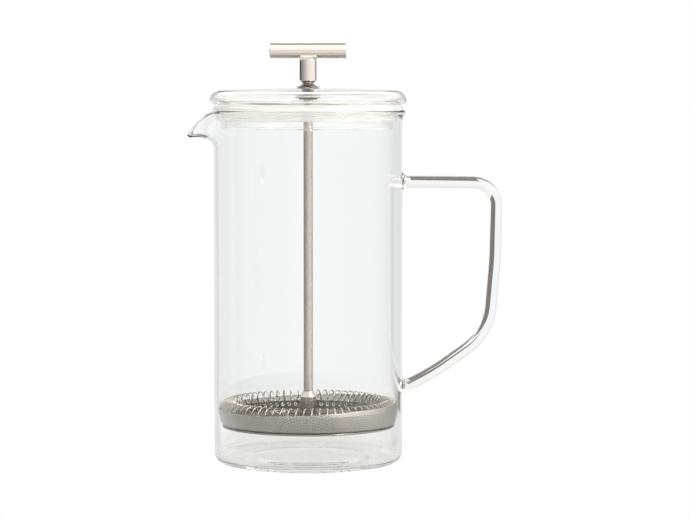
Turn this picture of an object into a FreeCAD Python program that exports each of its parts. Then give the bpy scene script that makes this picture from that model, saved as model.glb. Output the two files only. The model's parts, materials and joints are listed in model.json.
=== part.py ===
"""One-litre glass french press, as separate pieces.

Frame: origin on the beaker's axis at the surface it stands on, +Z up. The spout
points to -X and the handle to +X. Millimetres. Every piece is drawn with the lid
seated and the plunger pressed right down.
"""
import FreeCAD
import Part
import math
import os

Vector = FreeCAD.Vector
UP = Vector(0, 0, 1)
ORIGIN = Vector(0, 0, 0)

# ---- beaker: blown borosilicate glass ----
BEAKER_R = 50.0            # outer radius of the straight wall
WALL = 1.8                 # wall thickness
BORE_R = BEAKER_R - WALL
RIM_Z = 187.0              # top of the rim
FLARE = 1.8                # how far the rim stands out past the wall
FLARE_Z = RIM_Z - 6.0      # where the flare starts
CORNER_R = 5.5             # outer corner between wall and base
INNER_CORNER_R = 4.5
FLOOR_T = 2.5              # thickness of the floor

# ---- spout: a trough pulled out of the rim towards -X ----
SPOUT_TIP_X = 64.0
SPOUT_TOP_Z = RIM_Z + 4.0  # height that the trough is drawn to before the lip is cut
SPOUT_T = 1.7
# distance from the axis, height of the trough's underside, half width at the top
SPOUT_SECTIONS = [
    (44.0, 165.5, 19.0),
    (50.0, 170.2, 13.6),
    (54.0, 172.4, 9.8),
    (58.5, 173.5, 6.6),
    (62.0, 173.2, 4.2),
    (SPOUT_TIP_X, 172.9, 3.0),
]
LIP_START_X = 45.0         # the lip leaves the level rim here
LIP_MID = (56.1, 183.3)    # and falls in one arc through here
LIP_TIP_Z = 173.9          # to the tip

# ---- handle: bent solid glass rod, welded on at both ends ----
HANDLE_R = 3.2
# corners of the rod's centre line (x, z) and the bend radius at each inner corner
HANDLE_CORNERS = [
    (46.0, 149.4), (100.1, 148.7), (99.1, 108.0), (95.9, 68.6), (66.5, 47.6), (45.0, 36.6)]
HANDLE_BENDS = [12.0, 150.0, 30.0, 120.0]
WELD_R = 5.2               # the rod spreads to this at the wall
WELD_LENGTH = 4.0

# ---- lid: one blown glass piece, open underneath ----
LID_R = 52.2
LID_TOP_Z = 198.75         # top of the shallow dome
LID_T = 2.0
LID_UNDER_Z = 190.1        # underside of the overhanging rim
SKIRT_R = 45.4             # outer radius of the skirt that goes down into the beaker
SKIRT_Z = 177.2            # bottom of the skirt
LID_HOLE_R = 4.0

# ---- silicone seal round the skirt ----
SEAL_CLEAR = 0.05          # running clearance on the skirt
SEAL_GAP = 0.1             # clear of the rim below and the glass above
SEAL_R = 50.4
SEAL_SLEEVE_Z = 181.6
SEAL_SLEEVE_R = 47.4
SEAL_RIB_R = 47.9
SEAL_RIBS_Z = (183.0, 185.0)

# ---- fitting in the middle of the lid ----
ROD_R = 2.5
ROD_CLEAR = 0.05           # running clearance of the rod in its guide
GUIDE_R = 3.25
BUSH_BORE_R = 3.3
BUSH_TUBE_R = 3.8
BUSH_TOP_Z = 201.3
BUSH_TOP_R = 3.2
BUSH_FLANGE_R = 6.1
BUSH_FLANGE_Z = 199.1      # underside of the flange
BUSH_END_Z = 192.2
GASKET_TOP_R = 5.3
GASKET_LOW_R = 6.2
GASKET_LOW_T = 1.35
WASHER_R = 7.0
WASHER_T = 0.6
NUT_DISC_R = 7.6
NUT_DISC_Z = (193.2, 194.0)
NUT_HEX = 8.4              # across flats
NUT_END_Z = 191.6

# ---- plunger ----
THREAD_R = 2.1
BAR_R = 3.9
BAR_LENGTH = 40.6
BAR_Z = 218.4
STEM_R = 4.55
STEM_Z = 201.6             # bottom of the stem, just above the lid's fitting
STEM_NECK_R = 3.25
STEM_SADDLE_Z = 216.0      # the stem's top wraps the bar up to here
STEM_FLARE_R = 5.9
HUB_R = 4.3
HUB_TOP_Z = 37.5
HUB_CONE = 2.3             # height of the cone at its top
ROD_TOP_Z = 211.0
ROD_END_Z = 14.6

# ---- filter stack, from the bottom up ----
CROSS_Z = 19.3             # underside of the cross plate
CROSS_T = 0.9
CROSS_R = 46.0
CROSS_NUT_R = 6.0
CROSS_NUT_Z = 14.2
RIVET_R = 3.6
MESH_Z = 20.5              # underside of the flat of the mesh
MESH_T = 0.4
MESH_R = 47.9              # widest, where the spring presses it out
MESH_FLAT_R = 44.8
MESH_HOLE_R = 3.7
MESH_LIP_DEG = 12.0        # how far the mesh curls over the spring
EYELET_R = 6.0
PLATE_Z = 21.4             # underside of the spring plate
PLATE_T = 0.6
PLATE_WALL_R = 41.3        # outer face of its upturned wall
PLATE_WALL_T = 0.5
PLATE_TOP_Z = 27.8
COIL_RING_R = 43.0         # the coil's own axis is a ring of this radius
COIL_Z = 29.2
COIL_R = 4.0               # from that axis to the wire's centre
WIRE_R = 0.35
COIL_TURNS = 72
COIL_POINTS = 12           # interpolation points per turn
THREAD_HOLE_R = 1.1        # holes in the plate's wall that the spring is threaded through
COIL_END_GAP_DEG = 2.5     # the spring's two ends stop this far apart


def ring_point(radius, angle, z):
    """The point at that radius, angle in radians, and height."""
    return Vector(radius * math.cos(angle), radius * math.sin(angle), z)


def outline(start, *steps):
    """A closed wire in the XZ plane. A step of two numbers is a line to that point, and
    a step of two points is an arc through the first to the second."""
    def at(p):
        return Vector(p[0], 0, p[1])

    edges, here = [], start
    for step in steps:
        if isinstance(step[0], tuple):
            edges.append(Part.Arc(at(here), at(step[0]), at(step[1])).toShape())
            here = step[1]
        else:
            edges.append(Part.LineSegment(at(here), at(step)).toShape())
            here = step
    if here != start:
        edges.append(Part.LineSegment(at(here), at(start)).toShape())
    return Part.Wire(edges)


def turned(start, *steps):
    """The outline turned about the Z axis."""
    return Part.Face(outline(start, *steps)).revolve(ORIGIN, UP, 360)


def ring(inner, outer, low, high):
    """A plain ring, or a disc if inner is 0."""
    disc = Part.makeCylinder(outer, high - low, Vector(0, 0, low))
    return disc.cut(Part.makeCylinder(inner, high - low, Vector(0, 0, low))) if inner else disc


def on_corner(centre, radius, degrees):
    """The point of a profile's round corner at that angle from the outward direction."""
    a = math.radians(degrees)
    return (centre[0] + radius * math.cos(a), centre[1] + radius * math.sin(a))


def holes(radius, circle_r, count, low, high, first=0.0):
    """A ring of upright round holes, as one compound to cut away."""
    step = 2 * math.pi / count
    return Part.makeCompound([
        Part.makeCylinder(radius, high - low, ring_point(circle_r, first + k * step, low))
        for k in range(count)
    ])


def rounded_path(corners, bends):
    """A wire in the XZ plane along the corners, each inner one rounded to its radius."""
    points = [Vector(x, 0, z) for x, z in corners]
    edges, here = [], points[0]
    for before, corner, after, radius in zip(points, points[1:], points[2:], bends):
        back = (before - corner).normalize()
        on = (after - corner).normalize()
        half = back.getAngle(on) / 2
        cut = radius / math.tan(half)
        towards = (back + on).normalize()
        start, end = corner + back * cut, corner + on * cut
        middle = corner + towards * (radius / math.sin(half) - radius)
        edges.append(Part.LineSegment(here, start).toShape())
        edges.append(Part.Arc(start, middle, end).toShape())
        here = end
    edges.append(Part.LineSegment(here, points[-1]).toShape())
    return Part.Wire(edges)


# ---------------------------------------------------------------- glass body

def beaker_body():
    foot = (BEAKER_R - CORNER_R, CORNER_R)
    inner = (BORE_R - INNER_CORNER_R, FLOOR_T + INNER_CORNER_R)
    flare_outer = (BEAKER_R + FLARE, RIM_Z - 0.9)
    flare_inner = (BORE_R + FLARE, RIM_Z - 0.9)
    return turned(
        (0, 0),
        (foot[0], 0),
        (on_corner(foot, CORNER_R, -45), (BEAKER_R, foot[1])),
        (BEAKER_R, FLARE_Z),
        ((BEAKER_R + FLARE * 0.3, FLARE_Z + 2.9), flare_outer),
        (((flare_outer[0] + flare_inner[0]) / 2, RIM_Z), flare_inner),
        ((BORE_R + FLARE * 0.3, FLARE_Z + 2.9), (BORE_R, FLARE_Z)),
        (BORE_R, inner[1]),
        (on_corner(inner, INNER_CORNER_R, -45), (inner[0], FLOOR_T)),
        (0, FLOOR_T),
    )


def spout_trough(inset):
    """The trough as a solid, its skin taken in by inset."""
    wires = []
    for out, low, half in SPOUT_SECTIONS:
        low, half = low + inset, half - inset
        rise = SPOUT_TOP_Z - low
        curve = Part.BSplineCurve()
        curve.interpolate([
            Vector(-out, -half, SPOUT_TOP_Z),
            Vector(-out, -half * 0.80, low + rise * 0.48),
            Vector(-out, -half * 0.42, low + rise * 0.10),
            Vector(-out, 0, low),
            Vector(-out, half * 0.42, low + rise * 0.10),
            Vector(-out, half * 0.80, low + rise * 0.48),
            Vector(-out, half, SPOUT_TOP_Z),
        ])
        top = Part.LineSegment(Vector(-out, half, SPOUT_TOP_Z), Vector(-out, -half, SPOUT_TOP_Z))
        wires.append(Part.Wire([curve.toShape(), top.toShape()]))
    return Part.makeLoft(wires, True)


def lip_cut():
    """Everything above the falling line of the lip, out past the rim."""
    far, high = SPOUT_TIP_X + 12, SPOUT_TOP_Z + 8
    face = Part.Face(outline(
        (-LIP_START_X, RIM_Z),
        ((-LIP_MID[0], LIP_MID[1]), (-SPOUT_TIP_X, LIP_TIP_Z)),
        (-far, LIP_TIP_Z),
        (-far, high),
        (-LIP_START_X + 20, high),
        (-LIP_START_X + 20, RIM_Z),
    ))
    face.translate(Vector(0, -40, 0))
    return face.extrude(Vector(0, 80, 0))


def beaker():
    outer = spout_trough(0)
    outer = outer.cut(Part.makeCylinder(BORE_R + 0.1, SPOUT_TOP_Z + 10))
    glass = beaker_body().fuse(outer)
    glass = glass.cut(spout_trough(SPOUT_T)).cut(lip_cut())
    return glass.removeSplitter()


def handle():
    path = rounded_path(HANDLE_CORNERS, HANDLE_BENDS)
    start = Part.Wire(Part.makeCircle(HANDLE_R, Vector(HANDLE_CORNERS[0][0], 0, HANDLE_CORNERS[0][1]),
                                      path.Edges[0].tangentAt(path.Edges[0].FirstParameter)))
    rod = path.makePipeShell([start], True, True)
    for (x0, z0), (x1, z1) in (HANDLE_CORNERS[:2], HANDLE_CORNERS[:-3:-1]):
        slope = (z1 - z0) / (x1 - x0)
        wall = Vector(BEAKER_R, 0, z0 + slope * (BEAKER_R - x0))
        along = Vector(1, 0, slope / 2).normalize()
        flare = turned(
            (0, -6.0), (WELD_R, -6.0), (WELD_R, -0.5),
            ((HANDLE_R + 0.45, WELD_LENGTH * 0.3), (HANDLE_R - 1.0, WELD_LENGTH)),
            (0, WELD_LENGTH),
        )
        flare.Placement = FreeCAD.Placement(wall, FreeCAD.Rotation(UP, along))
        rod = rod.fuse(flare)
    return rod.cut(Part.makeCylinder(BEAKER_R, RIM_Z)).removeSplitter()


# ---------------------------------------------------------------- lid

def lid_glass():
    under, top, t = LID_UNDER_Z, LID_TOP_Z, LID_T
    skirt_in, tip = SKIRT_R - t, SKIRT_Z + t / 2
    return turned(
        (LID_HOLE_R, top),
        ((25, top - 0.38), (45.5, top - 1.35)),
        ((LID_R - 1.45, top - 3.15), (LID_R, under + 2.6)),
        ((LID_R - 0.65, under + 0.8), (LID_R - 2.2, under)),
        (SKIRT_R + 1.8, under),
        ((SKIRT_R + 0.53, under - 0.53), (SKIRT_R, under - 1.8)),
        (SKIRT_R, tip),
        ((SKIRT_R - t / 2, SKIRT_Z), (skirt_in, tip)),
        (skirt_in, under - 1.0),
        ((skirt_in + 0.9, under + 1.1), (skirt_in + 3.0, under + t)),
        (LID_R - 3.2, under + t),
        ((LID_R - t - 0.1, under + t + 1.1), (LID_R - t - 0.9, under + t + 2.3)),
        ((LID_R - 4.4, top - t - 1.45), (45.3, top - t - 1.3)),
        ((25, top - t - 0.38), (LID_HOLE_R, top - t)),
    )


def lid_seal():
    inner, low, high = SKIRT_R + SEAL_CLEAR, RIM_Z + SEAL_GAP, LID_UNDER_Z - SEAL_GAP
    steps = []
    for z in reversed(SEAL_RIBS_Z):
        steps += [(SEAL_SLEEVE_R, z + 0.6), ((SEAL_RIB_R, z), (SEAL_SLEEVE_R, z - 0.6))]
    return turned(
        (inner, high - 2.0),
        (inner + 2.0, high),
        (SEAL_R - 1.8, high),
        (SEAL_R, low + 1.1),
        (SEAL_R, low),
        (SEAL_SLEEVE_R, low),
        *steps,
        (SEAL_SLEEVE_R, SEAL_SLEEVE_Z + 0.4),
        (SEAL_SLEEVE_R - 0.4, SEAL_SLEEVE_Z),
        (inner, SEAL_SLEEVE_Z),
    )


def lid_bushing():
    return turned(
        (ROD_R + 0.2, BUSH_TOP_Z),
        (BUSH_TOP_R, BUSH_TOP_Z),
        ((BUSH_TOP_R + 0.75, BUSH_TOP_Z - 1.1), (BUSH_FLANGE_R, BUSH_FLANGE_Z + 0.45)),
        ((BUSH_FLANGE_R + 0.02, BUSH_FLANGE_Z + 0.2), (BUSH_FLANGE_R - 0.3, BUSH_FLANGE_Z)),
        (BUSH_TUBE_R, BUSH_FLANGE_Z),
        (BUSH_TUBE_R, BUSH_END_Z),
        (BUSH_BORE_R, BUSH_END_Z),
        (BUSH_BORE_R, BUSH_TOP_Z - 0.8),
        (ROD_R + 0.2, BUSH_TOP_Z - 0.8),
    )


def rod_guide():
    return ring(ROD_R + ROD_CLEAR, GUIDE_R, BUSH_END_Z + 0.1, BUSH_TOP_Z - 0.9)


def lid_nut():
    low, high = NUT_DISC_Z
    top = LID_TOP_Z - LID_T - GASKET_LOW_T - WASHER_T - 0.05
    hexagon = Part.Face(Part.makePolygon(
        [ring_point(NUT_HEX / math.sqrt(3), k * math.pi / 3, NUT_END_Z) for k in range(7)]))
    body = hexagon.extrude(Vector(0, 0, top - NUT_END_Z))
    body = body.fuse(ring(0, NUT_DISC_R, low, high))
    body = body.cut(Part.makeCylinder(BUSH_TUBE_R, 10, Vector(0, 0, BUSH_END_Z)))
    return body.cut(Part.makeCylinder(ROD_R + 0.3, 10, Vector(0, 0, NUT_END_Z - 5)))


# ---------------------------------------------------------------- plunger

def bar():
    blank = Part.makeCylinder(BAR_R, BAR_LENGTH, Vector(-BAR_LENGTH / 2, 0, BAR_Z), Vector(1, 0, 0))
    ends = [e for e in blank.Edges if abs(e.Length - 2 * math.pi * BAR_R) < 0.01]
    return blank.makeChamfer(0.35, ends)


def stem():
    flare_z = BAR_Z - BAR_R + 0.5
    blank = turned(
        (THREAD_R, STEM_Z + 1.6),
        (ROD_R, STEM_Z + 1.6),
        (ROD_R, STEM_Z),
        (STEM_NECK_R, STEM_Z),
        (STEM_R - 0.1, STEM_Z + 1.05),
        ((STEM_R - 0.02, STEM_Z + 1.2), (STEM_R, STEM_Z + 1.4)),
        (STEM_R, flare_z - 1.9),
        ((STEM_R + 0.35, flare_z - 0.6), (STEM_FLARE_R, flare_z)),
        (STEM_FLARE_R, STEM_SADDLE_Z),
        (0, STEM_SADDLE_Z),
        (0, ROD_TOP_Z + 0.3),
        (THREAD_R, ROD_TOP_Z + 0.3),
    )
    slab = Part.makeBox(20, 2 * STEM_R, 40, Vector(-10, -STEM_R, STEM_Z - 5))
    round_bar = Part.makeCylinder(BAR_R, BAR_LENGTH, Vector(-BAR_LENGTH / 2, 0, BAR_Z), Vector(1, 0, 0))
    return blank.common(slab).cut(round_bar)


def rod():
    shoulder = PLATE_Z + PLATE_T
    return turned(
        (0, ROD_END_Z), (THREAD_R - 0.4, ROD_END_Z), (THREAD_R, ROD_END_Z + 0.4),
        (THREAD_R, shoulder), (ROD_R, shoulder),
        (ROD_R, STEM_Z + 1.6), (THREAD_R, STEM_Z + 1.6),
        (THREAD_R, ROD_TOP_Z - 0.4), (THREAD_R - 0.4, ROD_TOP_Z), (0, ROD_TOP_Z),
    )


def filter_hub():
    low = PLATE_Z + PLATE_T
    return turned(
        (ROD_R, low), (HUB_R - 0.2, low), (HUB_R, low + 0.2), (HUB_R, HUB_TOP_Z - HUB_CONE - 0.6),
        ((HUB_R - 0.12, HUB_TOP_Z - HUB_CONE - 0.25), (HUB_R - 0.4, HUB_TOP_Z - HUB_CONE)),
        (ROD_R + 0.35, HUB_TOP_Z), (ROD_R, HUB_TOP_Z),
    )


def spring_plate():
    top = PLATE_Z + PLATE_T
    wall_in = PLATE_WALL_R - PLATE_WALL_T
    dish = turned(
        (THREAD_R + 0.05, PLATE_Z),
        (PLATE_WALL_R - 1.1, PLATE_Z),
        ((PLATE_WALL_R - 0.32, PLATE_Z + 0.32), (PLATE_WALL_R, PLATE_Z + 1.1)),
        (PLATE_WALL_R, PLATE_TOP_Z),
        (wall_in, PLATE_TOP_Z),
        (wall_in, top + 0.6),
        ((wall_in - 0.18, top + 0.18), (wall_in - 0.6, top)),
        (THREAD_R + 0.05, top),
    )
    # the wire crosses the wall where its turn is this far round from outward
    crossing = math.acos((PLATE_WALL_R - PLATE_WALL_T / 2 - COIL_RING_R) / COIL_R)
    z = COIL_Z - COIL_R * math.sin(crossing)
    first = -crossing / COIL_TURNS
    drills = []
    for k in range(COIL_TURNS):
        angle = first + (k + 0.5) * 2 * math.pi / COIL_TURNS
        drills.append(Part.makeCylinder(
            THREAD_HOLE_R, 4.0, ring_point(wall_in - 1.5, angle, z), ring_point(1, angle, 0)))
    flow = [holes(4.2, 14.5, 6, PLATE_Z - 1, top + 1),
            holes(4.4, 27.0, 12, PLATE_Z - 1, top + 1, math.pi / 12)]
    return dish.cut(Part.makeCompound(drills)).cut(Part.makeCompound(flow))


def coil_spring():
    gap = math.radians(COIL_END_GAP_DEG)
    count = COIL_TURNS * COIL_POINTS
    points = []
    for k in range(count + 1):
        along = gap / 2 + (2 * math.pi - gap) * k / count
        turn = COIL_TURNS * along - math.pi
        points.append(ring_point(COIL_RING_R + COIL_R * math.cos(turn), along,
                                 COIL_Z + COIL_R * math.sin(turn)))
    curve = Part.BSplineCurve()
    curve.interpolate(points)
    path = Part.Wire(curve.toShape())
    section = Part.Wire(Part.makeCircle(WIRE_R, points[0], curve.tangent(curve.FirstParameter)[0]))
    return path.makePipeShell([section], True, True)


def mesh_screen():
    centre = (COIL_RING_R, COIL_Z)
    outer, inner = MESH_R - COIL_RING_R, MESH_R - COIL_RING_R - MESH_T
    half = MESH_LIP_DEG / 2
    return turned(
        (MESH_HOLE_R, MESH_Z),
        (MESH_FLAT_R, MESH_Z),
        ((MESH_FLAT_R + 1.15, MESH_Z + 0.45), (MESH_FLAT_R + 1.7, MESH_Z + 1.5)),
        (MESH_R, COIL_Z),
        (on_corner(centre, outer, half), on_corner(centre, outer, 2 * half)),
        on_corner(centre, inner, 2 * half),
        (on_corner(centre, inner, half), (MESH_R - MESH_T, COIL_Z)),
        (MESH_FLAT_R + 1.3, MESH_Z + 1.6),
        ((MESH_FLAT_R + 0.85, MESH_Z + 0.75), (MESH_FLAT_R - 0.1, MESH_Z + MESH_T)),
        (MESH_HOLE_R, MESH_Z + MESH_T),
    )


def mesh_eyelet():
    whole = ring(THREAD_R + 0.05, EYELET_R, CROSS_Z + CROSS_T, PLATE_Z)
    return whole.cut(ring(MESH_HOLE_R, EYELET_R + 1, MESH_Z, MESH_Z + MESH_T))


def cross_plate():
    plate = turned(
        (RIVET_R, CROSS_Z), (CROSS_R - 0.3, CROSS_Z), ((CROSS_R, CROSS_Z + CROSS_T / 2),
                                                       (CROSS_R - 0.3, CROSS_Z + CROSS_T)),
        (RIVET_R, CROSS_Z + CROSS_T),
    )
    flow = [holes(4.6, 14.5, 8, CROSS_Z - 1, CROSS_Z + 2),
            holes(4.4, 26.0, 14, CROSS_Z - 1, CROSS_Z + 2),
            holes(3.2, 37.5, 24, CROSS_Z - 1, CROSS_Z + 2)]
    return plate.cut(Part.makeCompound(flow))


def cross_nut():
    """Threaded boss riveted through the cross plate, its edge notched for grip."""
    boss = turned(
        (THREAD_R, CROSS_NUT_Z), (CROSS_NUT_R - 0.6, CROSS_NUT_Z),
        (CROSS_NUT_R, CROSS_NUT_Z + 0.6), (CROSS_NUT_R, CROSS_Z),
        (RIVET_R, CROSS_Z), (RIVET_R, CROSS_Z + CROSS_T), (THREAD_R, CROSS_Z + CROSS_T),
    )
    notch_r, notches = 0.7, 12
    return boss.cut(holes(notch_r, CROSS_NUT_R + 0.25, notches, CROSS_NUT_Z - 1, CROSS_Z - 0.8))


PIECES = {
    "beaker": beaker,
    "handle": handle,
    "lid_glass": lid_glass,
    "lid_seal": lid_seal,
    "lid_bushing": lid_bushing,
    "bushing_gasket_upper": lambda: ring(
        BUSH_TUBE_R + 0.05, GASKET_TOP_R, LID_TOP_Z, BUSH_FLANGE_Z),
    "bushing_gasket_lower": lambda: ring(
        BUSH_TUBE_R + 0.05, GASKET_LOW_R, LID_TOP_Z - LID_T - GASKET_LOW_T,
        LID_TOP_Z - LID_T - 0.03),
    "bushing_washer": lambda: ring(
        BUSH_TUBE_R + 0.1, WASHER_R, LID_TOP_Z - LID_T - GASKET_LOW_T - WASHER_T,
        LID_TOP_Z - LID_T - GASKET_LOW_T),
    "bushing_nut": lid_nut,
    "rod_guide": rod_guide,
    "knob_bar": bar,
    "knob_stem": stem,
    "plunger_rod": rod,
    "filter_hub": filter_hub,
    "spring_plate": spring_plate,
    "coil_spring": coil_spring,
    "mesh_screen": mesh_screen,
    "mesh_eyelet": mesh_eyelet,
    "cross_plate": cross_plate,
    "cross_plate_nut": cross_nut,
}


def main():
    os.makedirs("parts", exist_ok=True)
    for name, make in PIECES.items():
        shape = make()
        shape.exportStep(os.path.join("parts", name + ".step"))
        print(f"{name:22s} valid {shape.isValid()} solids {len(shape.Solids)} "
              f"volume {shape.Volume:10.1f}")


main()
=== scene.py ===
"""The looks of a one-litre glass french press, built round its CAD frame.

Frame: origin at the middle of the beaker's underside, +Z up, spout to -X, handle to +X.
Outlines and sizes are written in millimetres and become metres when a mesh is made.
"""
import json
import math

import bmesh
import bpy
from mathutils import Matrix, Vector

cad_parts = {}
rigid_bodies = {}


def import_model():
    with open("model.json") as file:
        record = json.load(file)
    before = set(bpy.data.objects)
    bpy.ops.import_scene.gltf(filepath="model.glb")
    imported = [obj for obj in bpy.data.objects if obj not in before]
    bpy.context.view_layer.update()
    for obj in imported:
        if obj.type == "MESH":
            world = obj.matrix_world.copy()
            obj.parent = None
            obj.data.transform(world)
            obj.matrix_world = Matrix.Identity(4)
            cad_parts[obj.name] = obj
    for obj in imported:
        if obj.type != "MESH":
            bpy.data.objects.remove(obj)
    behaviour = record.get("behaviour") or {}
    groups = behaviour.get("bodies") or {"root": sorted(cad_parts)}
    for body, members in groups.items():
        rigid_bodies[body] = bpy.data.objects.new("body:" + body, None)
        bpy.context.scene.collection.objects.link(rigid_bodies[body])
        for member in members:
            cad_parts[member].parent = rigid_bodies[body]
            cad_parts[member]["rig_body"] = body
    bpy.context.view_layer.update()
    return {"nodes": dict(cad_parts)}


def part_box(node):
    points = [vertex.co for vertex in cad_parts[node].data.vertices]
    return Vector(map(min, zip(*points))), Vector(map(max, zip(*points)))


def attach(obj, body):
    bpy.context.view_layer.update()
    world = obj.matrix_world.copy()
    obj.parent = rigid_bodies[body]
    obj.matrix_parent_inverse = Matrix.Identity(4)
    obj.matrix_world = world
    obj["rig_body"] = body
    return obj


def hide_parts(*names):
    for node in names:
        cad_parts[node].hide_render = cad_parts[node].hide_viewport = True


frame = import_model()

MM = 0.001
ARC_STEP = math.radians(9)      # a round stretch of an outline has a point this often,
ARC_LENGTH = 4.0                # and at least one in this length


def span(node):
    """Lowest and highest corner of a CAD node, in millimetres."""
    low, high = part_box(node)
    return low / MM, high / MM


# ---------------------------------------------------------------- sizes

BEAKER_LOW, BEAKER_HIGH = span("beaker")
RIM_Z = BEAKER_HIGH.z
FLARE = 1.8                     # how far the rim stands out past the wall
BEAKER_R = BEAKER_HIGH.y - FLARE
WALL = 1.8
BORE_R = BEAKER_R - WALL
FLARE_Z = RIM_Z - 6.0
FLARE_MID_Z = FLARE_Z + 2.9     # the flare is about a third of the way out here
FOOT_R = 5.5                    # radius of the outer corner at the foot
CORNER_R = 2.4                  # and of the inner corner round the floor
PUNT_R = 36.0                   # the base is hollowed this far out from its middle
PUNT_H = 0.8
DISH_R = 28.0                   # and its inside is crowned this far
FLOOR_T = 2.5

SPOUT_TIP_X = -BEAKER_LOW.x
SPOUT_REACH = 19.0              # from where the lip leaves the level rim to its tip, along X
SPOUT_DROP = 13.1               # the tip lies this far below the rim
SPOUT_FOOT = 20.0               # the wall starts to lean out this far below the rim
SPOUT_NOSE = 3.0                # radius of the nose seen from above
SPOUT_ROWS = 14                 # rows of points up the wall where the spout is drawn out
ROW_GAP = 1.1

ROD_R = span("plunger_rod")[1].y


# ---------------------------------------------------------------- making meshes

def trace(start, *steps):
    """Points along an outline. A step of two numbers is a line to that point, and a step of
    two points is an arc through the first to the second."""
    points = [Vector(start)]
    for step in steps:
        if not isinstance(step[0], tuple):
            points.append(Vector(step))
            continue
        a, b, c = points[-1], Vector(step[0]), Vector(step[1])
        ab, ac = b - a, c - a
        twice = 2 * (ab.x * ac.y - ab.y * ac.x)
        centre = a + Vector((ac.y * ab.dot(ab) - ab.y * ac.dot(ac),
                             ab.x * ac.dot(ac) - ac.x * ab.dot(ab))) / twice
        first = math.atan2(a.y - centre.y, a.x - centre.x)
        sweep = math.atan2(c.y - centre.y, c.x - centre.x) - first
        if twice > 0 and sweep < 0:
            sweep += 2 * math.pi
        if twice < 0 and sweep > 0:
            sweep -= 2 * math.pi
        radius = (a - centre).length
        count = max(3, math.ceil(abs(sweep) / ARC_STEP),
                    math.ceil(abs(sweep) * radius / ARC_LENGTH))
        for k in range(1, count + 1):
            angle = first + sweep * k / count
            points.append(centre + radius * Vector((math.cos(angle), math.sin(angle))))
    return points


def finish_mesh(name, bm, sharp=180):
    """Turns a bmesh in millimetres into an object in metres, smooth up to that edge angle."""
    bmesh.ops.scale(bm, vec=(MM, MM, MM), verts=bm.verts)
    mesh = bpy.data.meshes.new(name)
    bm.to_mesh(mesh)
    bm.free()
    mesh.shade_smooth()
    mesh.set_sharp_from_angle(angle=math.radians(sharp))
    piece = bpy.data.objects.new(name, mesh)
    bpy.context.scene.collection.objects.link(piece)
    return piece


def spun(points, steps=96, closed=True):
    """A bmesh of the outline turned once about the Z axis."""
    bm = bmesh.new()
    verts = [bm.verts.new((p.x, 0, p.y)) for p in points]
    pairs = list(zip(verts, verts[1:])) + ([(verts[-1], verts[0])] if closed else [])
    edges = [bm.edges.new(pair) for pair in pairs
             if closed or max(abs(pair[0].co.x), abs(pair[1].co.x)) > 1e-6]
    bmesh.ops.spin(bm, geom=verts + edges, cent=(0, 0, 0), axis=(0, 0, 1), dvec=(0, 0, 0),
                   angle=2 * math.pi, steps=steps, use_merge=True, use_duplicate=False)
    bmesh.ops.remove_doubles(bm, verts=bm.verts, dist=1e-5)
    loose = [e for e in bm.edges if not e.link_faces]
    bmesh.ops.delete(bm, geom=loose, context="EDGES")
    bmesh.ops.recalc_face_normals(bm, faces=bm.faces)
    return bm


def crisp(piece):
    """Keeps broad faces looking flat or truly round beside the narrow faces of their edges."""
    weighted = piece.modifiers.new("edges", "WEIGHTED_NORMAL")
    weighted.keep_sharp = True
    weighted.weight = 80
    return piece


def turned(name, *outline, steps=96, sharp=35):
    """A lathe-turned or blown piece."""
    return crisp(finish_mesh(name, spun(trace(*outline), steps), sharp))


def copied(name, node, sharp=35):
    """A smooth-shaded copy of a CAD node, for shapes that are drilled or cut."""
    bm = bmesh.new()
    bm.from_mesh(frame["nodes"][node].data)
    bmesh.ops.remove_doubles(bm, verts=bm.verts, dist=1e-6)
    bmesh.ops.scale(bm, vec=(1 / MM, 1 / MM, 1 / MM), verts=bm.verts)
    return crisp(finish_mesh(name, bm, sharp))


def stands_for(piece, node, material):
    """Puts a piece in place of its CAD node, on the node's body, in that material."""
    piece.data.materials.clear()
    piece.data.materials.append(material)
    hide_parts(node)
    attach(piece, frame["nodes"][node]["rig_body"])
    return piece


# ---------------------------------------------------------------- materials

def linear(code):
    """A linear colour from an sRGB hex code."""
    parts = [int(code[i:i + 2], 16) / 255 for i in (1, 3, 5)]
    return [c / 12.92 if c <= 0.04045 else ((c + 0.055) / 1.055) ** 2.4 for c in parts] + [1.0]


def material(name):
    """A new material: its node tree, its Principled shader and its Object coordinates."""
    made = bpy.data.materials.new(name)
    made.use_nodes = True
    tree = made.node_tree
    coords = add(tree, "ShaderNodeTexCoord").outputs["Object"]
    return made, tree, tree.nodes["Principled BSDF"], coords


def add(tree, kind, inputs=None, **settings):
    """Adds a node: inputs are values or the sockets to link from."""
    made = tree.nodes.new(kind)
    for key, value in settings.items():
        setattr(made, key, value)
    put(tree, made, inputs or {})
    return made


def put(tree, shader, inputs):
    """Sets a node's inputs to values, or links them from sockets."""
    for key, value in inputs.items():
        if isinstance(value, bpy.types.NodeSocket):
            tree.links.new(value, shader.inputs[key])
        else:
            shader.inputs[key].default_value = value


def blown_glass(name, tint):
    """Borosilicate glass, blown and fire-polished: clear, with a faint slow ripple in its skin."""
    made, tree, shader, coords = material(name)
    ripple = add(tree, "ShaderNodeTexNoise", {"Vector": coords, "Scale": 1 / (38 * MM),
                                              "Detail": 1.0})
    bump = add(tree, "ShaderNodeBump", {"Height": ripple.outputs["Fac"], "Strength": 0.05,
                                        "Distance": 1 * MM})
    put(tree, shader, {"Base Color": linear(tint), "Transmission Weight": 1.0, "Roughness": 0.0,
                       "IOR": 1.473, "Normal": bump.outputs["Normal"]})
    return made


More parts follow.
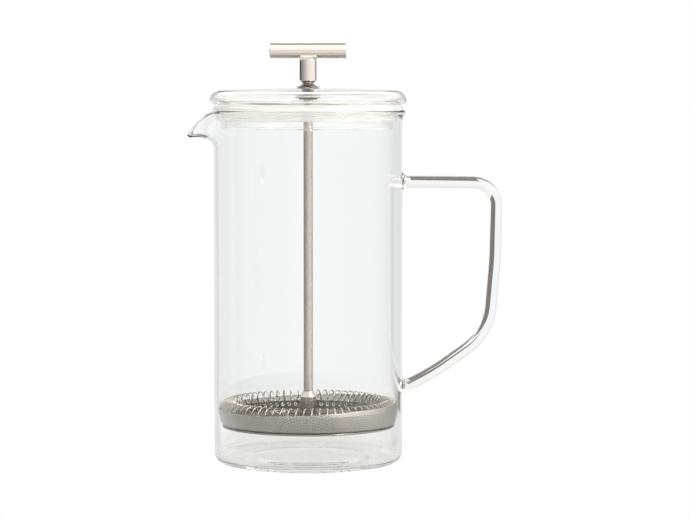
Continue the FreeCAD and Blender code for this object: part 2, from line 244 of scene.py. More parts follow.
def silicone():
    """Moulded food-grade silicone: milky, lets light through but blurs what is behind it."""
    made, tree, shader, coords = material("moulded_silicone")
    cloud = add(tree, "ShaderNodeTexNoise", {"Vector": coords, "Scale": 1 / (6 * MM),
                                             "Detail": 3.0})
    grain = add(tree, "ShaderNodeTexNoise", {"Vector": coords, "Scale": 1 / (0.5 * MM),
                                             "Detail": 2.0})
    bump = add(tree, "ShaderNodeBump", {"Height": grain.outputs["Fac"], "Strength": 0.1,
                                        "Distance": 0.05 * MM})
    rough = add(tree, "ShaderNodeMapRange", {"Value": cloud.outputs["Fac"], "To Min": 0.2,
                                             "To Max": 0.3})
    put(tree, shader, {"Base Color": linear("#FEFEFD"), "Transmission Weight": 0.65, "IOR": 1.41,
                       "Roughness": rough.outputs["Result"], "Normal": bump.outputs["Normal"]})
    return made


def steel(name, colour, rough, line_mm, squash, depth=0.008):
    """Stainless steel drawn, turned or polished: soft reflections and fine hairlines, which are
    stretched along each axis with a small squash. Real hairlines are some hundredths of a
    millimetre apart; they are drawn coarser so that they show."""
    made, tree, shader, coords = material(name)
    along = add(tree, "ShaderNodeMapping", {"Vector": coords, "Scale": squash})
    lines = add(tree, "ShaderNodeTexNoise", {"Vector": along.outputs["Vector"], "Detail": 3.0,
                                             "Scale": 1 / (line_mm * MM)})
    haze = add(tree, "ShaderNodeTexNoise", {"Vector": coords, "Scale": 1 / (9 * MM),
                                            "Detail": 2.0})
    sheen = add(tree, "ShaderNodeMapRange", {"Value": haze.outputs["Fac"], "To Min": rough * 0.8,
                                             "To Max": rough * 1.25})
    bump = add(tree, "ShaderNodeBump", {"Height": lines.outputs["Fac"], "Strength": 0.3,
                                        "Distance": depth * MM})
    put(tree, shader, {"Base Color": linear(colour), "Metallic": 1.0,
                       "Roughness": sheen.outputs["Result"], "Normal": bump.outputs["Normal"]})
    return made


WIRE_PITCH = 0.8                # of the cloth as drawn, in the millimetres of its UV map


def woven_cloth():
    """Plain-woven stainless cloth: a knuckle where each wire crosses over another, with the colour
    painted lighter where the wire rises and darker where it dips, as painted highlight and shade. The
    real wires are 0.3 mm apart; they are drawn coarser so that they show."""
    made, tree, shader = material("woven_steel_cloth")[:3]
    cloth = add(tree, "ShaderNodeUVMap", uv_map="cloth").outputs["UV"]
    both = add(tree, "ShaderNodeVectorMath", {0: cloth, 1: (math.pi / WIRE_PITCH,) * 3},
               operation="MULTIPLY")
    waves = add(tree, "ShaderNodeVectorMath", {0: both.outputs["Vector"]}, operation="SINE")
    parts = add(tree, "ShaderNodeSeparateXYZ", {"Vector": waves.outputs["Vector"]})
    knuckles = add(tree, "ShaderNodeMath", {0: parts.outputs["X"], 1: parts.outputs["Y"]},
                   operation="MULTIPLY")
    # painted highlight and shade: the wire's colour runs from dark where the weave dips to light on
    # its raised knuckles
    tone = add(tree, "ShaderNodeMapRange", {"Value": knuckles.outputs[0], "From Min": -0.6,
                                            "From Max": 0.8})
    wire = add(tree, "ShaderNodeMix", {"Factor": tone.outputs["Result"], "A": linear("#7E7A74"),
                                       "B": linear("#E8E3DD")}, data_type="RGBA")
    gaps = add(tree, "ShaderNodeMath", {0: knuckles.outputs[0]}, operation="ABSOLUTE")
    solid = add(tree, "ShaderNodeMapRange", {"Value": gaps.outputs[0], "From Min": 0.5,
                                             "From Max": 0.6, "To Min": 1.0, "To Max": 0.0})
    bump = add(tree, "ShaderNodeBump", {"Height": knuckles.outputs[0], "Strength": 0.6,
                                        "Distance": 0.1 * MM})
    put(tree, shader, {"Base Color": wire.outputs["Result"], "Metallic": 1.0, "Roughness": 0.36,
                       "Alpha": solid.outputs["Result"], "Normal": bump.outputs["Normal"]})
    return made


def nylon():
    """Moulded natural nylon: off-white, slightly waxy."""
    made, tree, shader, coords = material("natural_nylon")
    cloud = add(tree, "ShaderNodeTexNoise", {"Vector": coords, "Scale": 1 / (2 * MM)})
    tone = add(tree, "ShaderNodeMix", {"Factor": cloud.outputs["Fac"], "A": linear("#E6E4DC"),
                                       "B": linear("#F2F0E9")}, data_type="RGBA")
    put(tree, shader, {"Base Color": tone.outputs["Result"], "Roughness": 0.45,
                       "Subsurface Weight": 0.1, "Subsurface Radius": (MM, MM, MM)})
    return made


CLEAR_GLASS = blown_glass("borosilicate_glass", "#FEFFFE")
SILICONE = silicone()
NYLON = nylon()
POLISHED_STEEL = steel("polished_stainless_steel", "#D2CBC5", 0.07, 0.35, (0.02, 0.02, 1.0))
DRAWN_STEEL = steel("drawn_stainless_rod", "#B3ABA4", 0.09, 0.35, (1.0, 1.0, 0.02))
# the lid's fitting, washer and nut are the same polished stainless as the rest, with the colour
# painted much darker to stand in for the dark reflections they show: painted reflection
DARKENED_FITTING_STEEL = steel("turned_stainless_fitting_painted_dark", "#7C746F", 0.07, 0.3, (1.0, 1.0, 0.02))
SLEEVE_STEEL = steel("turned_stainless_sleeve", "#B8B0A9", 0.24, 0.3, (1.0, 1.0, 0.02))
BAR_STEEL = steel("polished_stainless_bar", "#D2CBC5", 0.07, 0.35, (0.02, 1.0, 1.0))
PRESSED_STEEL = steel("pressed_stainless_sheet", "#8C847D", 0.14, 0.6, (1.0, 1.0, 1.0))
WIRE_STEEL = steel("drawn_spring_wire", "#ACA69F", 0.16, 0.4, (1.0, 1.0, 1.0))
MESH_STEEL = woven_cloth()


# ---------------------------------------------------------------- beaker

def beaker_outline():
    """The beaker cut through its axis, before its spout is drawn out: up the outside from the
    middle of the base, over the rim, down the bore and in over the floor."""
    foot, inner = BEAKER_R - FOOT_R, BORE_R - CORNER_R
    lip, rim = RIM_Z - WALL / 2, (BORE_R + BEAKER_R) / 2 + FLARE
    out, up = math.sin(math.pi / 4), 1 - math.cos(math.pi / 4)      # halfway round a corner
    # rows up the wall, closer together where the spout is drawn out
    spout_rows = [RIM_Z - SPOUT_FOOT - 1 + ROW_GAP * k for k in range(SPOUT_ROWS)]
    rows = [40.0, 80.0, 120.0, 150.0] + spout_rows
    steps = [
        (PUNT_R - 4, PUNT_H * 0.9),
        ((PUNT_R - 2, PUNT_H * 0.8), (PUNT_R, PUNT_H * 0.5)),
        ((PUNT_R + 1.5, PUNT_H * 0.12), (PUNT_R + 4, 0.0)),
        (foot, 0.0),
        ((foot + FOOT_R * out, FOOT_R * up), (BEAKER_R, FOOT_R)),
    ]
    steps += [(BEAKER_R, z) for z in rows]
    steps += [
        ((BEAKER_R + FLARE * 0.3, FLARE_MID_Z), (rim + WALL / 2, lip)),
        ((rim, RIM_Z), (rim - WALL / 2, lip)),
        ((BORE_R + FLARE * 0.3, FLARE_MID_Z), (BORE_R, FLARE_Z)),
    ]
    steps += [(BORE_R, z) for z in reversed(rows)]
    steps += [
        (BORE_R, FLOOR_T + CORNER_R),
        ((inner + CORNER_R * out, FLOOR_T + CORNER_R * up), (inner, FLOOR_T)),
        (DISH_R + 9, FLOOR_T),
        ((DISH_R + 6, FLOOR_T + PUNT_H * 0.1), (DISH_R + 3, FLOOR_T + PUNT_H * 0.4)),
        ((DISH_R, FLOOR_T + PUNT_H * 0.68), (DISH_R - 4, FLOOR_T + PUNT_H * 0.8)),
        (0.0, FLOOR_T + PUNT_H * 0.9),
    ]
    return trace((0.0, PUNT_H), *steps)


def mid_radius(z):
    """Radius of the middle of the wall's thickness at that height."""
    up = max(0.0, (z - FLARE_Z) / (RIM_Z - FLARE_Z))
    return BEAKER_R - WALL / 2 + FLARE * up ** 2


SPOUT_RIM_R = mid_radius(RIM_Z)
SPOUT_START_X = SPOUT_TIP_X - SPOUT_REACH
SPOUT_SPREAD = math.acos(SPOUT_START_X / SPOUT_RIM_R)       # half the angle that the spout takes
SPOUT_HALF = SPOUT_RIM_R * math.sin(SPOUT_SPREAD)


def drawn_out(angle, z):
    """A point on the middle of the glass, with the spout drawn out of the wall. The angle is
    measured from the spout's own direction. The lip narrows to a round nose and falls to the
    tip, and each column of the wall leans out to its place on the lip."""
    radius = mid_radius(z)
    here = Vector((-radius * math.cos(angle), radius * math.sin(angle), z))
    share = abs(angle) / SPOUT_SPREAD
    rise = (z - RIM_Z + SPOUT_FOOT) / SPOUT_FOOT
    if share >= 1 or rise <= 0:
        return here
    back = SPOUT_REACH * share ** 1.5               # how far behind the tip this column ends
    nose = math.sqrt(2 * SPOUT_NOSE * SPOUT_REACH)
    half = (nose * math.sqrt(back / SPOUT_REACH)
            + (SPOUT_HALF - nose) * (back / SPOUT_REACH) ** 2)
    drop = SPOUT_DROP * (1 - back / SPOUT_REACH) ** 2.28
    lip = Vector((-SPOUT_TIP_X + back, math.copysign(half, angle), RIM_Z - drop))
    rim = Vector((-SPOUT_RIM_R * math.cos(angle), SPOUT_RIM_R * math.sin(angle), RIM_Z))
    return here + (lip - rim) * rise ** 1.6


def make_beaker():
    """The blown beaker. Each point near the spout keeps its place across the wall's thickness
    while the middle of the glass is drawn out."""
    bm = spun(beaker_outline(), steps=480)
    nudge = 1e-3                                    # for the slope of the drawn glass
    for vert in bm.verts:
        x, y, z = vert.co
        if x > 0 or z < RIM_Z - SPOUT_FOOT:
            continue
        angle = math.atan2(y, -x)
        if abs(angle) > SPOUT_SPREAD:
            continue
        here = drawn_out(angle, z)
        across = drawn_out(angle + nudge, z) - drawn_out(angle - nudge, z)
        up = drawn_out(angle, z + nudge) - drawn_out(angle, z - nudge)
        outward = up.cross(across).normalized()
        vert.co = here + outward * (math.hypot(x, y) - mid_radius(z))
    return finish_mesh("glass_beaker", bm)


# ---------------------------------------------------------------- handle

HANDLE_R = 3.2
# corners of the rod's centre line (x, z) and the bend radius at each inner corner
HANDLE_CORNERS = [
    (46.0, 149.4), (100.1, 148.7), (99.1, 108.0), (95.9, 68.6), (66.5, 47.6), (45.0, 36.6)]
HANDLE_BENDS = [12.0, 150.0, 30.0, 120.0]
WELD_R = 5.2                    # the rod spreads to this where it is welded to the wall
WELD_LENGTH = 2.4               # and has almost its own thickness again this far out
WELD_REACH = WELD_LENGTH * 1.6  # past this the rod is left as it is
WELD_GAP = 0.02                 # between the rod's end and the wall
WELDS_PART_Z = 90.0             # the upper weld is above this height, the lower one below


def make_handle():
    """A straight glass rod bent round each corner in turn, as it is bent in the flame."""
    corners = [Vector((x, 0, z)) for x, z in HANDLE_CORNERS]
    bm = bmesh.new()
    first = (corners[1] - corners[0]).normalized()
    start = corners[0] + first * ((BEAKER_R - corners[0].x) / first.x)
    bmesh.ops.create_circle(bm, cap_ends=False, radius=HANDLE_R, segments=48, matrix=(
        Matrix.Translation(start) @ first.to_track_quat("Z", "Y").to_matrix().to_4x4()))
    ring, here = list(bm.edges), start
    for corner, after, bend in zip(corners[1:], corners[2:] + [None], HANDLE_BENDS + [None]):
        direction = (corner - here).normalized()
        if after is None:
            end = here + direction * ((BEAKER_R - here.x) / direction.x)
            run(bm, ring, end - here)
            break
        on = (after - corner).normalized()
        turn = direction.angle(on)
        cut = bend * math.tan(turn / 2)
        ring = run(bm, ring, corner - direction * cut - here)
        axis = direction.cross(on).normalized()
        start = corner - direction * cut
        centre = start + axis.cross(direction) * bend
        done = bmesh.ops.spin(bm, geom=ring, cent=centre, axis=axis, dvec=(0, 0, 0), angle=turn,
                              steps=max(4, math.ceil(turn / math.radians(4))),
                              use_merge=False, use_duplicate=False)
        ring = [g for g in done["geom_last"] if isinstance(g, bmesh.types.BMEdge)]
        here = corner + on * cut
    bmesh.ops.holes_fill(bm, edges=bm.edges, sides=0)
    for face in [f for f in bm.faces if len(f.verts) > 4]:
        bmesh.ops.poke(bm, faces=[face])
    bmesh.ops.remove_doubles(bm, verts=bm.verts, dist=1e-5)
    for vert in bm.verts:
        weld_flare(vert)
    bmesh.ops.recalc_face_normals(bm, faces=bm.faces)
    return finish_mesh("glass_handle", bm, sharp=50)


def run(bm, ring, along):
    """Draws the ring out along a straight run, half a millimetre at a time."""
    count = math.ceil(along.length * 2)
    for step in range(count):
        made = bmesh.ops.extrude_edge_only(bm, edges=ring)["geom"]
        ring = [g for g in made if isinstance(g, bmesh.types.BMEdge)]
        verts = [g for g in made if isinstance(g, bmesh.types.BMVert)]
        bmesh.ops.translate(bm, verts=verts, vec=along / count)
    return ring


def weld_flare(vert):
    """Spreads the rod where it meets the wall, and seats its end on the wall's curve."""
    x, y, z = vert.co
    out = x - BEAKER_R
    if out > WELD_REACH:
        return
    near, far = HANDLE_CORNERS[:2] if z > WELDS_PART_Z else HANDLE_CORNERS[:-3:-1]
    slope = (far[1] - near[1]) / (far[0] - near[0])
    axis_z = near[1] + slope * (x - near[0])
    spread = 1 + (WELD_R / HANDLE_R - 1) * math.exp(-max(out, 0.0) * 3 / WELD_LENGTH)
    y, dz = y * spread, (z - axis_z) * spread
    wall = math.sqrt(BEAKER_R ** 2 - y ** 2) + WELD_GAP
    blend = math.exp(-max(out, 0.0) / 2)
    vert.co = (max(wall, x + (wall - BEAKER_R) * blend), y, axis_z + dz)


# ---------------------------------------------------------------- lid

LID_LOW, LID_HIGH = span("lid_glass")
LID_R, LID_TOP_Z, SKIRT_Z = LID_HIGH.x, LID_HIGH.z, LID_LOW.z
LID_T = 2.0                     # at its hole
LID_RIM_T = 1.5                 # its blown rim is thinner
SKIRT_R = 45.4
LID_UNDER_Z = LID_TOP_Z - 8.65
LID_HOLE_R = 4.0


def make_lid():
    """The blown lid: a shallow dome round its hole, a rounded rim, and a skirt open below."""
    under, top, t, rim_t = LID_UNDER_Z, LID_TOP_Z, LID_T, LID_RIM_T
    skirt_in, tip = SKIRT_R - t, SKIRT_Z + t / 2
    return turned(
        "glass_lid",
        (LID_HOLE_R, top),
        ((25, top - 0.38), (45.5, top - 1.35)),
        ((LID_R - 1.45, top - 3.15), (LID_R, under + 2.6)),
        ((LID_R - 0.65, under + 0.8), (LID_R - 2.2, under)),
        (SKIRT_R + 1.8, under),
        ((SKIRT_R + 0.53, under - 0.53), (SKIRT_R, under - 1.8)),
        (SKIRT_R, tip),
        ((SKIRT_R - t / 2, SKIRT_Z), (skirt_in, tip)),
        (skirt_in, under - 1.0),
        ((skirt_in + 0.9, under + 0.8), (skirt_in + 2.6, under + rim_t)),
        (LID_R - 2.6, under + rim_t),
        ((LID_R - rim_t - 0.45, under + rim_t + 0.35), (LID_R - rim_t, under + 2.6)),
        ((LID_R - 2.45, top - 4.15), (45.3, top - rim_t - 1.35)),
        ((25, top - t - 0.25), (LID_HOLE_R, top - t)),
        steps=384, sharp=70,
    )


def make_seal():
    """A flange that the lid's rim sits on, and a sleeve with two ribs round the lid's skirt."""
    low, high = span("lid_seal")
    inner, flange, sleeve_r, rib_r = SKIRT_R + 0.05, high.x, 47.4, 47.9
    flange_z, top = RIM_Z + 0.1, high.z
    steps = []
    for z in (low.z + 3.4, low.z + 1.4):
        steps += [(sleeve_r, z + 0.6), ((rib_r, z), (sleeve_r, z - 0.6))]
    return turned(
        "silicone_seal",
        (inner, top - 2.0),
        (inner + 2.0, top),
        (flange - 1.8, top),
        (flange, flange_z + 1.1),
        (flange, flange_z),
        (sleeve_r, flange_z),
        *steps,
        (sleeve_r, low.z + 0.4),
        (sleeve_r - 0.4, low.z),
        (inner, low.z),
        steps=256,
    )


def make_bushing():
    """The fitting through the lid's hole: a cone that spreads to a thin flange on the glass."""
    low, high = span("lid_bushing")
    flange_z = LID_TOP_Z + 0.35
    return turned(
        "lid_fitting",
        (2.7, high.z),
        (3.0, high.z),
        (3.2, high.z - 0.2),
        ((3.95, high.z - 1.15), (high.x, flange_z + 0.45)),
        ((high.x + 0.02, flange_z + 0.2), (high.x - 0.3, flange_z)),
        (3.8, flange_z),
        (3.8, low.z),
        (3.3, low.z),
        (3.3, high.z - 0.8),
        (2.7, high.z - 0.8),
    )


def ring_piece(name, node, inner, edge):
    """A washer, gasket or tube between a node's lowest and highest points."""
    low, high = span(node)
    r, z0, z1 = high.x, low.z, high.z
    return turned(name, (inner + edge, z0), (r - edge, z0), (r, z0 + edge), (r, z1 - edge),
                  (r - edge, z1), (inner + edge, z1), (inner, z1 - edge), (inner, z0 + edge))


# ---------------------------------------------------------------- plunger

def make_bar():
    """The knob's bar, turned about Z and then laid along X."""
    low, high = span("knob_bar")
    radius, half = (high.z - low.z) / 2, (high.x - low.x) / 2
    edge = 0.45
    bm = spun(trace(
        (0, -half), (radius * 0.7, -half), (radius - edge, -half),
        ((radius - edge * 0.3, -half + edge * 0.3), (radius, -half + edge)),
        (radius, 0), (radius, half - edge),
        ((radius - edge * 0.3, half - edge * 0.3), (radius - edge, half)),
        (radius * 0.7, half), (0, half)), steps=96, closed=False)
    lying = Matrix.Rotation(math.pi / 2, 3, "Y")
    bmesh.ops.rotate(bm, verts=bm.verts, cent=(0, 0, 0), matrix=lying)
    bmesh.ops.translate(bm, verts=bm.verts, vec=(0, 0, (high.z + low.z) / 2))
    return crisp(finish_mesh("knob_crossbar", bm, sharp=40))


def make_rod():
    """The rod, with a thinner thread at each end for the filter and the knob."""
    low, high = span("plunger_rod")
    shoulder, neck = span("spring_plate")[0].z + 0.6, span("knob_stem")[0].z + 1.6
    thread_r = 2.1
    return turned(
        "steel_rod",
        (0, low.z), (thread_r - 0.4, low.z), (thread_r, low.z + 0.4), (thread_r, shoulder),
        (ROD_R, shoulder), (ROD_R, neck), (thread_r, neck), (thread_r, high.z - 0.4),
        (thread_r - 0.4, high.z), (0, high.z), steps=64)


def make_hub():
    """The sleeve on the filter: a plain tube with a small step and a coned top."""
    low, high = span("filter_hub")
    r = high.x
    return turned(
        "filter_sleeve",
        (ROD_R, low.z), (r - 0.2, low.z), (r, low.z + 0.2), (r, high.z - 2.9),
        ((r - 0.12, high.z - 2.55), (r - 0.4, high.z - 2.3)),
        (ROD_R + 0.35, high.z), (ROD_R, high.z), steps=64, sharp=40)


COIL_RING_R = 43.0              # the coil's own axis is a ring of this radius
COIL_R = 4.0
WIRE_R = 0.35
COIL_Z = 29.2
COIL_TURNS = 72


def make_coil():
    """One long spring closed into a ring, so its wire runs round and round that ring."""
    gap = math.radians(2.5)         # between the wire's two ends, round the ring
    per_turn = 24                   # points in each turn of the coil
    count = COIL_TURNS * per_turn
    curve = bpy.data.curves.new("spring", "CURVE")
    curve.dimensions = "3D"
    curve.bevel_depth = WIRE_R * MM
    curve.bevel_resolution = 2
    curve.use_fill_caps = True
    line = curve.splines.new("POLY")
    line.points.add(count)
    for k in range(count + 1):
        along = gap / 2 + (2 * math.pi - gap) * k / count
        turn = COIL_TURNS * along - math.pi
        radius = COIL_RING_R + COIL_R * math.cos(turn)
        z = COIL_Z + COIL_R * math.sin(turn)
        place = Vector((radius * math.cos(along), radius * math.sin(along), z)) * MM
        line.points[k].co = (*place, 1)
    drawn = bpy.data.objects.new("spring", curve)
    bpy.context.scene.collection.objects.link(drawn)
    bpy.context.view_layer.update()
    mesh = bpy.data.meshes.new_from_object(drawn)
    mesh.name = "coil"
    bpy.data.objects.remove(drawn)
    mesh.shade_smooth()
    piece = bpy.data.objects.new("filter_spring", mesh)
    bpy.context.scene.collection.objects.link(piece)
    return piece


SCREEN_T = 0.4
SCREEN_HOLE_R = 3.7


def make_screen():
    """Steel cloth pressed to a dish, its edge curled up round the outside of the spring."""
    low, high = span("mesh_screen")
    r, t, z = high.x, SCREEN_T, low.z
    flat_r = r - 3.1
    outer = r - COIL_RING_R
    bm = spun(trace(
        (SCREEN_HOLE_R, z),
        (12, z), (24, z), (36, z),
        (flat_r, z),
        ((flat_r + 1.0, z + 0.35), (flat_r + 1.65, z + 1.2)),
        ((r - 0.55, z + 4.6), (r, COIL_Z)),
        (r, COIL_Z + 0.01), (r, COIL_Z + 0.5),
        (r - t, COIL_Z + 0.5), (r - t, COIL_Z + 0.01), (r - t, COIL_Z),
        ((r - t - 0.5, z + 4.7), (flat_r + 1.3, z + 1.5)),
        ((flat_r + 0.75, z + 0.75), (flat_r - 0.1, z + t)),
        (36, z + t), (24, z + t), (12, z + t),
        (SCREEN_HOLE_R, z + t)), steps=256)
    developed = bm.loops.layers.uv.new("cloth")
    for vert in bm.verts:
        x, y, height = vert.co
        if height < COIL_Z + 0.3:
            continue
        # the edge is curled over further on one side than on the other
        lip = math.radians(14 + 26 * x / r)
        reach = outer - (0 if math.hypot(x, y) > r - t / 2 else t)
        out = (COIL_RING_R + reach * math.cos(lip)) / math.hypot(x, y)
        vert.co = (x * out, y * out, COIL_Z + reach * math.sin(lip))
    for face in bm.faces:
        for loop in face.loops:
            x, y, height = loop.vert.co
            away = math.hypot(x, y)
            length = min(away, flat_r) + max(0.0, height - z - t)
            loop[developed].uv = (x * length / away, y * length / away)
    return finish_mesh("woven_screen", bm, sharp=40)


# ---------------------------------------------------------------- assembling

stands_for(make_beaker(), "beaker", CLEAR_GLASS)
stands_for(make_handle(), "handle", CLEAR_GLASS)
stands_for(make_lid(), "lid_glass", CLEAR_GLASS)
stands_for(make_seal(), "lid_seal", SILICONE)
stands_for(make_bushing(), "lid_bushing", DARKENED_FITTING_STEEL)
stands_for(ring_piece("upper_gasket", "bushing_gasket_upper", 3.85, 0.05),
           "bushing_gasket_upper", SILICONE)
stands_for(ring_piece("lower_gasket", "bushing_gasket_lower", 3.85, 0.2),
           "bushing_gasket_lower", SILICONE)
stands_for(ring_piece("lid_washer", "bushing_washer", 3.9, 0.1),
           "bushing_washer", DARKENED_FITTING_STEEL)
stands_for(ring_piece("nylon_guide", "rod_guide", ROD_R + 0.05, 0.15),
           "rod_guide", NYLON)
stands_for(copied("flanged_nut", "bushing_nut"), "bushing_nut", DARKENED_FITTING_STEEL)
stands_for(make_bar(), "knob_bar", BAR_STEEL)
stands_for(copied("knob_neck", "knob_stem"), "knob_stem", POLISHED_STEEL)
stands_for(make_rod(), "plunger_rod", DRAWN_STEEL)
stands_for(make_hub(), "filter_hub", SLEEVE_STEEL)
stands_for(copied("drilled_dish", "spring_plate"), "spring_plate", PRESSED_STEEL)
stands_for(make_coil(), "coil_spring", WIRE_STEEL)
stands_for(make_screen(), "mesh_screen", MESH_STEEL)
stands_for(copied("screen_eyelet", "mesh_eyelet"), "mesh_eyelet", PRESSED_STEEL)
stands_for(copied("drilled_plate", "cross_plate"), "cross_plate", PRESSED_STEEL)
stands_for(copied("plate_boss", "cross_plate_nut"), "cross_plate_nut", PRESSED_STEEL)


# ---------------------------------------------------------------- studio

def make_camera():
    """A long lens in front of the press, a little above it and looking slightly down."""
    data = bpy.data.cameras.new("camera")
    data.sensor_width = 36.0
    data.lens = 138.3
    data.clip_end = 50
    camera = bpy.data.objects.new("camera", data)
    camera.location = Vector((19.56, -1406.1, 202.7)) * MM
    camera.rotation_euler = (math.radians(90 - 3.85), 0, 0)
    bpy.context.scene.collection.objects.link(camera)
    bpy.context.scene.camera = camera


FAR = 40000.0                   # half the width of the floor
FLAG_AWAY = 3000.0              # how far off the flags stand
TABLE_GLOW = 0.58


def only_seen_by(piece, camera=False, glossy=False, glass=False, diffuse=False):
    """Says which rays meet a piece of the studio."""
    piece.visible_camera = camera
    piece.visible_glossy = glossy
    piece.visible_transmission = glass
    piece.visible_diffuse = diffuse
    piece.visible_shadow = False


def flat_sheet(name, corners, colour):
    """A sheet of the studio that glows evenly in that colour."""
    bm = bmesh.new()
    bmesh.ops.contextual_create(bm, geom=[bm.verts.new(corner) for corner in corners])
    sheet = finish_mesh(name, bm)
    made, tree, shader = material(name)[:3]
    put(tree, shader, {"Base Color": linear("#000000"), "Roughness": 1.0,
                       "Specular IOR Level": 0.0, "Emission Color": linear(colour),
                       "Emission Strength": 1.0})
    sheet.data.materials.append(made)
    return sheet


def make_floor():
    """White paper that only the camera sees, and for the glass and steel a greyer oval under
    the press and in front of it, which fades out to the studio's wall."""
    square = [(-FAR, -FAR), (FAR, -FAR), (FAR, FAR), (-FAR, FAR)]
    paper = flat_sheet("white_floor", [(x, y, -0.1) for x, y in square], "#FFFFFF")
    only_seen_by(paper, camera=True)
    table = flat_sheet("reflected_floor", [(x, y, -0.2) for x, y in square], "#FFFFFF")
    tree = table.data.materials[0].node_tree
    coords = add(tree, "ShaderNodeTexCoord").outputs["Object"]
    oval = add(tree, "ShaderNodeMapping", {"Vector": coords, "Location": (0, 160 * MM, 0),
                                           "Scale": (3.0, 1.0, 1.0)})
    away = add(tree, "ShaderNodeVectorMath", {0: oval.outputs["Vector"]}, operation="LENGTH")
    fade = add(tree, "ShaderNodeMapRange", {"Value": away.outputs["Value"], "From Min": 0.22,
                                            "From Max": 0.42, "To Min": 1.0, "To Max": 0.0},
               interpolation_type="SMOOTHSTEP")
    put(tree, tree.nodes["Principled BSDF"], {"Base Color": linear("#5C5B5A"),
                                              "Emission Strength": TABLE_GLOW,
                                              "Alpha": fade.outputs["Result"]})
    only_seen_by(table, glossy=True, glass=True, diffuse=True)


def make_card(name, corners, colour, **seen_by):
    """A card that glows in its colour, for the kinds of ray named."""
    card = flat_sheet(name, corners, colour)
    only_seen_by(card, **seen_by)
    return card


def clear_from_behind(card):
    """Leaves a card to be seen only from in front of the object."""
    if card.data.polygons[0].normal.y > 0:
        card.data.flip_normals()
    tree = card.data.materials[0].node_tree
    behind = add(tree, "ShaderNodeNewGeometry").outputs["Backfacing"]
    front = add(tree, "ShaderNodeMath", {0: 1.0, 1: behind}, operation="SUBTRACT")
    put(tree, tree.nodes["Principled BSDF"], {"Alpha": front.outputs[0]})


def make_flag(name, first, last, low, high, tone, **seen_by):
    """A far card between two directions, in degrees from the front round to the right, and two
    heights, as shares of how far off it stands."""
    ends = [Vector((math.sin(math.radians(a)), -math.cos(math.radians(a)), 0)) * FLAG_AWAY
            for a in (first, last)]
    up = Vector((0, 0, FLAG_AWAY))
    corners = [ends[0] + up * low, ends[1] + up * low, ends[1] + up * high, ends[0] + up * high]
    make_card(name, corners, tone, **seen_by)


def make_cards():
    """The cards and flags that draw the glass and steel against the white."""
    dark = "#6E6661"
    # close behind the handle: the rod is a lens that turns each into a dark stripe on its
    # inner side, the first up the grip and the second along the lower run
    grip = make_card("strip_right", [(99, 28, 52), (140, 40, 52), (142, 40, 152), (103.5, 28, 144)],
                     dark, glossy=True, glass=True)
    low = make_card("strip_low", [(56, 8, 24), (72, 8, 31), (94, 8, 46), (101, 8, 58), (94, 8, 62.5),
                                  (84.5, 8, 57.2), (66.5, 8, 45.3), (56, 8, 39.9)],
                    dark, glossy=True, glass=True)
    clear_from_behind(grip)
    clear_from_behind(low)
    # behind the press and above it, and far off on both sides: dark edges for the steel
    make_card("card_above", [(-45, 300, 285), (32, 300, 285), (32, 300, 900), (-45, 300, 900)],
              "#756D68", glossy=True)
    make_flag("flag_left", -106, -140, 0.055, 0.3, "#4A4644", glossy=True)
    make_flag("flag_right", 124, 148, 0.055, 0.3, "#8E8884", glossy=True)
    # pale ones low on the left and level with the press: they lift the left of the filter and
    # of the beaker's wall
    make_flag("bounce_left", -42, -90, -4.0, -0.105, "#FFFDF8", glass=True)
    make_flag("bounce_back_left", -90, -138, -4.0, -0.105, "#FFFDF8", glass=True)
    make_flag("side_left", -98, -140, -0.25, 0.045, "#FFFFFF", glossy=True)
    # far behind, below and above: dark lines in the base, the rim and the lid
    make_flag("flag_below", 178.1, 168, -4.0, -0.14, dark, glossy=True, glass=True)
    make_flag("flag_under", 178.1, 222, -1.6, -0.5, "#7A736E", glossy=True, glass=True)
    make_flag("flag_behind", 150, 210, 0.17, 0.45, "#7D756F", glossy=True)


def make_softbox():
    """A soft lamp high on the right, in front of the press and aimed at its middle."""
    place, aim = Vector((900, -700, 900)) * MM, Vector((0, 0, 120)) * MM
    data = bpy.data.lights.new("softbox", "AREA")
    data.shape = "RECTANGLE"
    data.size, data.size_y = 500 * MM, 700 * MM
    data.energy = 12
    data.color = linear("#FFF8EE")[:3]
    lamp = bpy.data.objects.new("softbox", data)
    lamp.location = place
    lamp.rotation_euler = (aim - place).to_track_quat("-Z", "Y").to_euler()
    bpy.context.scene.collection.objects.link(lamp)
    lamp.visible_camera = False


# the studio's wall, by direction in degrees: 0 is the front, 90 the right, 180 the far side
WALL_TONES = [
    (-180, "#BBBBBB"), (-160, "#B6B6B7"), (-140, "#A0A0A2"), (-115, "#7F7F81"), (-88, "#858587"),
    (-66, "#9B9B9D"), (-48, "#AAAAAB"), (-32, "#B9B9B9"), (-16, "#CBCBCA"), (0, "#DCDAD9"),
    (16, "#E4E2DF"), (40, "#E9E6E4"), (88, "#F1EFEC"), (106, "#D2D0CD"), (130, "#A09F9D"),
    (160, "#B6B6B6"), (180, "#BBBBBB")]
WALL_GLOW = 1.7
TOP_TONE = "#FFFBF4"
BACK_TONE = "#C1C1C3"           # what shows through the glass, level with it
BACK_HIGH_TONE = "#AEADAB"      # and higher up
SEEN_THROUGH = 0.9              # how far that covers the wall's own tones


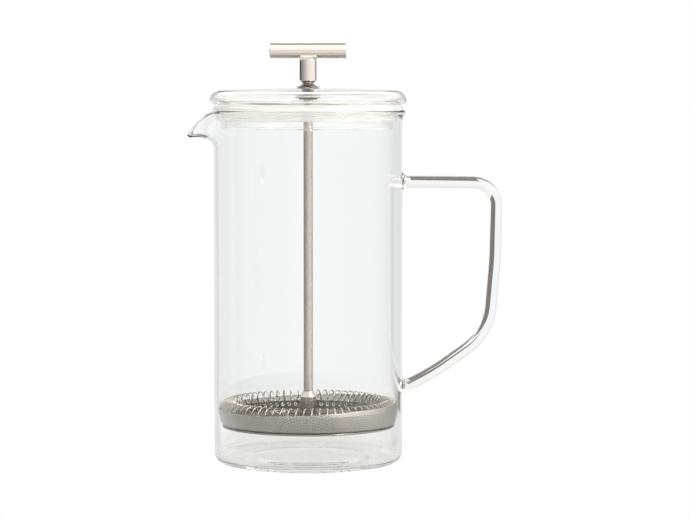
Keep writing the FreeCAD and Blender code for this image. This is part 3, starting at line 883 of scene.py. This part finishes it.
def make_world():
    """A pale studio: the wall is greyer to the left and behind, creamy to the right, with a
    bright ceiling, and plain white to the camera."""
    world = bpy.data.worlds.new("studio")
    bpy.context.scene.world = world
    world.use_nodes = True
    tree = world.node_tree
    way = add(tree, "ShaderNodeSeparateXYZ",
              {"Vector": add(tree, "ShaderNodeTexCoord").outputs["Generated"]})
    back = add(tree, "ShaderNodeMath", {0: way.outputs["Y"], 1: -1.0}, operation="MULTIPLY")
    turn = add(tree, "ShaderNodeMath", {0: way.outputs["X"], 1: back.outputs[0]},
               operation="ARCTAN2")
    share = add(tree, "ShaderNodeMapRange", {"Value": turn.outputs[0], "From Min": -math.pi,
                                             "From Max": math.pi})
    ramp = add(tree, "ShaderNodeValToRGB", {"Fac": share.outputs["Result"]})
    stops = ramp.color_ramp.elements
    stops.remove(stops[-1])
    stops[0].color = linear(WALL_TONES[0][1])
    for angle, tone in WALL_TONES[1:]:
        stops.new((angle + 180) / 360).color = linear(tone)
    height = add(tree, "ShaderNodeMapRange", {"Value": way.outputs["Z"], "From Min": 0.1,
                                              "From Max": 0.55}, interpolation_type="SMOOTHSTEP")
    wall = add(tree, "ShaderNodeMix", {"Factor": height.outputs["Result"],
                                       "A": ramp.outputs["Color"], "B": linear(TOP_TONE)},
               data_type="RGBA")
    # a ray that only passes through the glass meets the backdrop, and one that is mirrored on
    # its way meets the wall
    rays = add(tree, "ShaderNodeLightPath")
    mirrored = add(tree, "ShaderNodeMath", {0: rays.outputs["Glossy Depth"], 1: 1.0},
                   operation="MINIMUM")
    direct = add(tree, "ShaderNodeMath", {0: SEEN_THROUGH, 1: mirrored.outputs[0]},
                 operation="SUBTRACT")
    through = add(tree, "ShaderNodeMath", {0: rays.outputs["Is Transmission Ray"],
                                           1: direct.outputs[0]}, operation="MULTIPLY", use_clamp=True)
    pale = add(tree, "ShaderNodeMix", {"Factor": height.outputs["Result"],
                                       "A": linear(BACK_TONE), "B": linear(BACK_HIGH_TONE)},
               data_type="RGBA")
    backdrop = add(tree, "ShaderNodeMix", {"Factor": through.outputs[0],
                                           "A": wall.outputs["Result"],
                                           "B": pale.outputs["Result"]}, data_type="RGBA")
    studio = tree.nodes["Background"]
    put(tree, studio, {"Color": backdrop.outputs["Result"], "Strength": WALL_GLOW})
    white = add(tree, "ShaderNodeBackground", {"Color": linear("#FFFFFF"), "Strength": 1.0})
    both = add(tree, "ShaderNodeMixShader", {0: rays.outputs["Is Camera Ray"],
                                             1: studio.outputs[0], 2: white.outputs[0]})
    put(tree, tree.nodes["World Output"], {"Surface": both.outputs[0]})


make_camera()
make_floor()
make_cards()
make_world()
make_softbox()
bpy.context.scene.view_settings.view_transform = "Standard"
bpy.context.scene.cycles.max_bounces = 40
bpy.context.scene.cycles.transmission_bounces = 40
bpy.context.scene.cycles.glossy_bounces = 40
bpy.context.scene.cycles.transparent_max_bounces = 24
bpy.context.scene.cycles.blur_glossy = 0.0
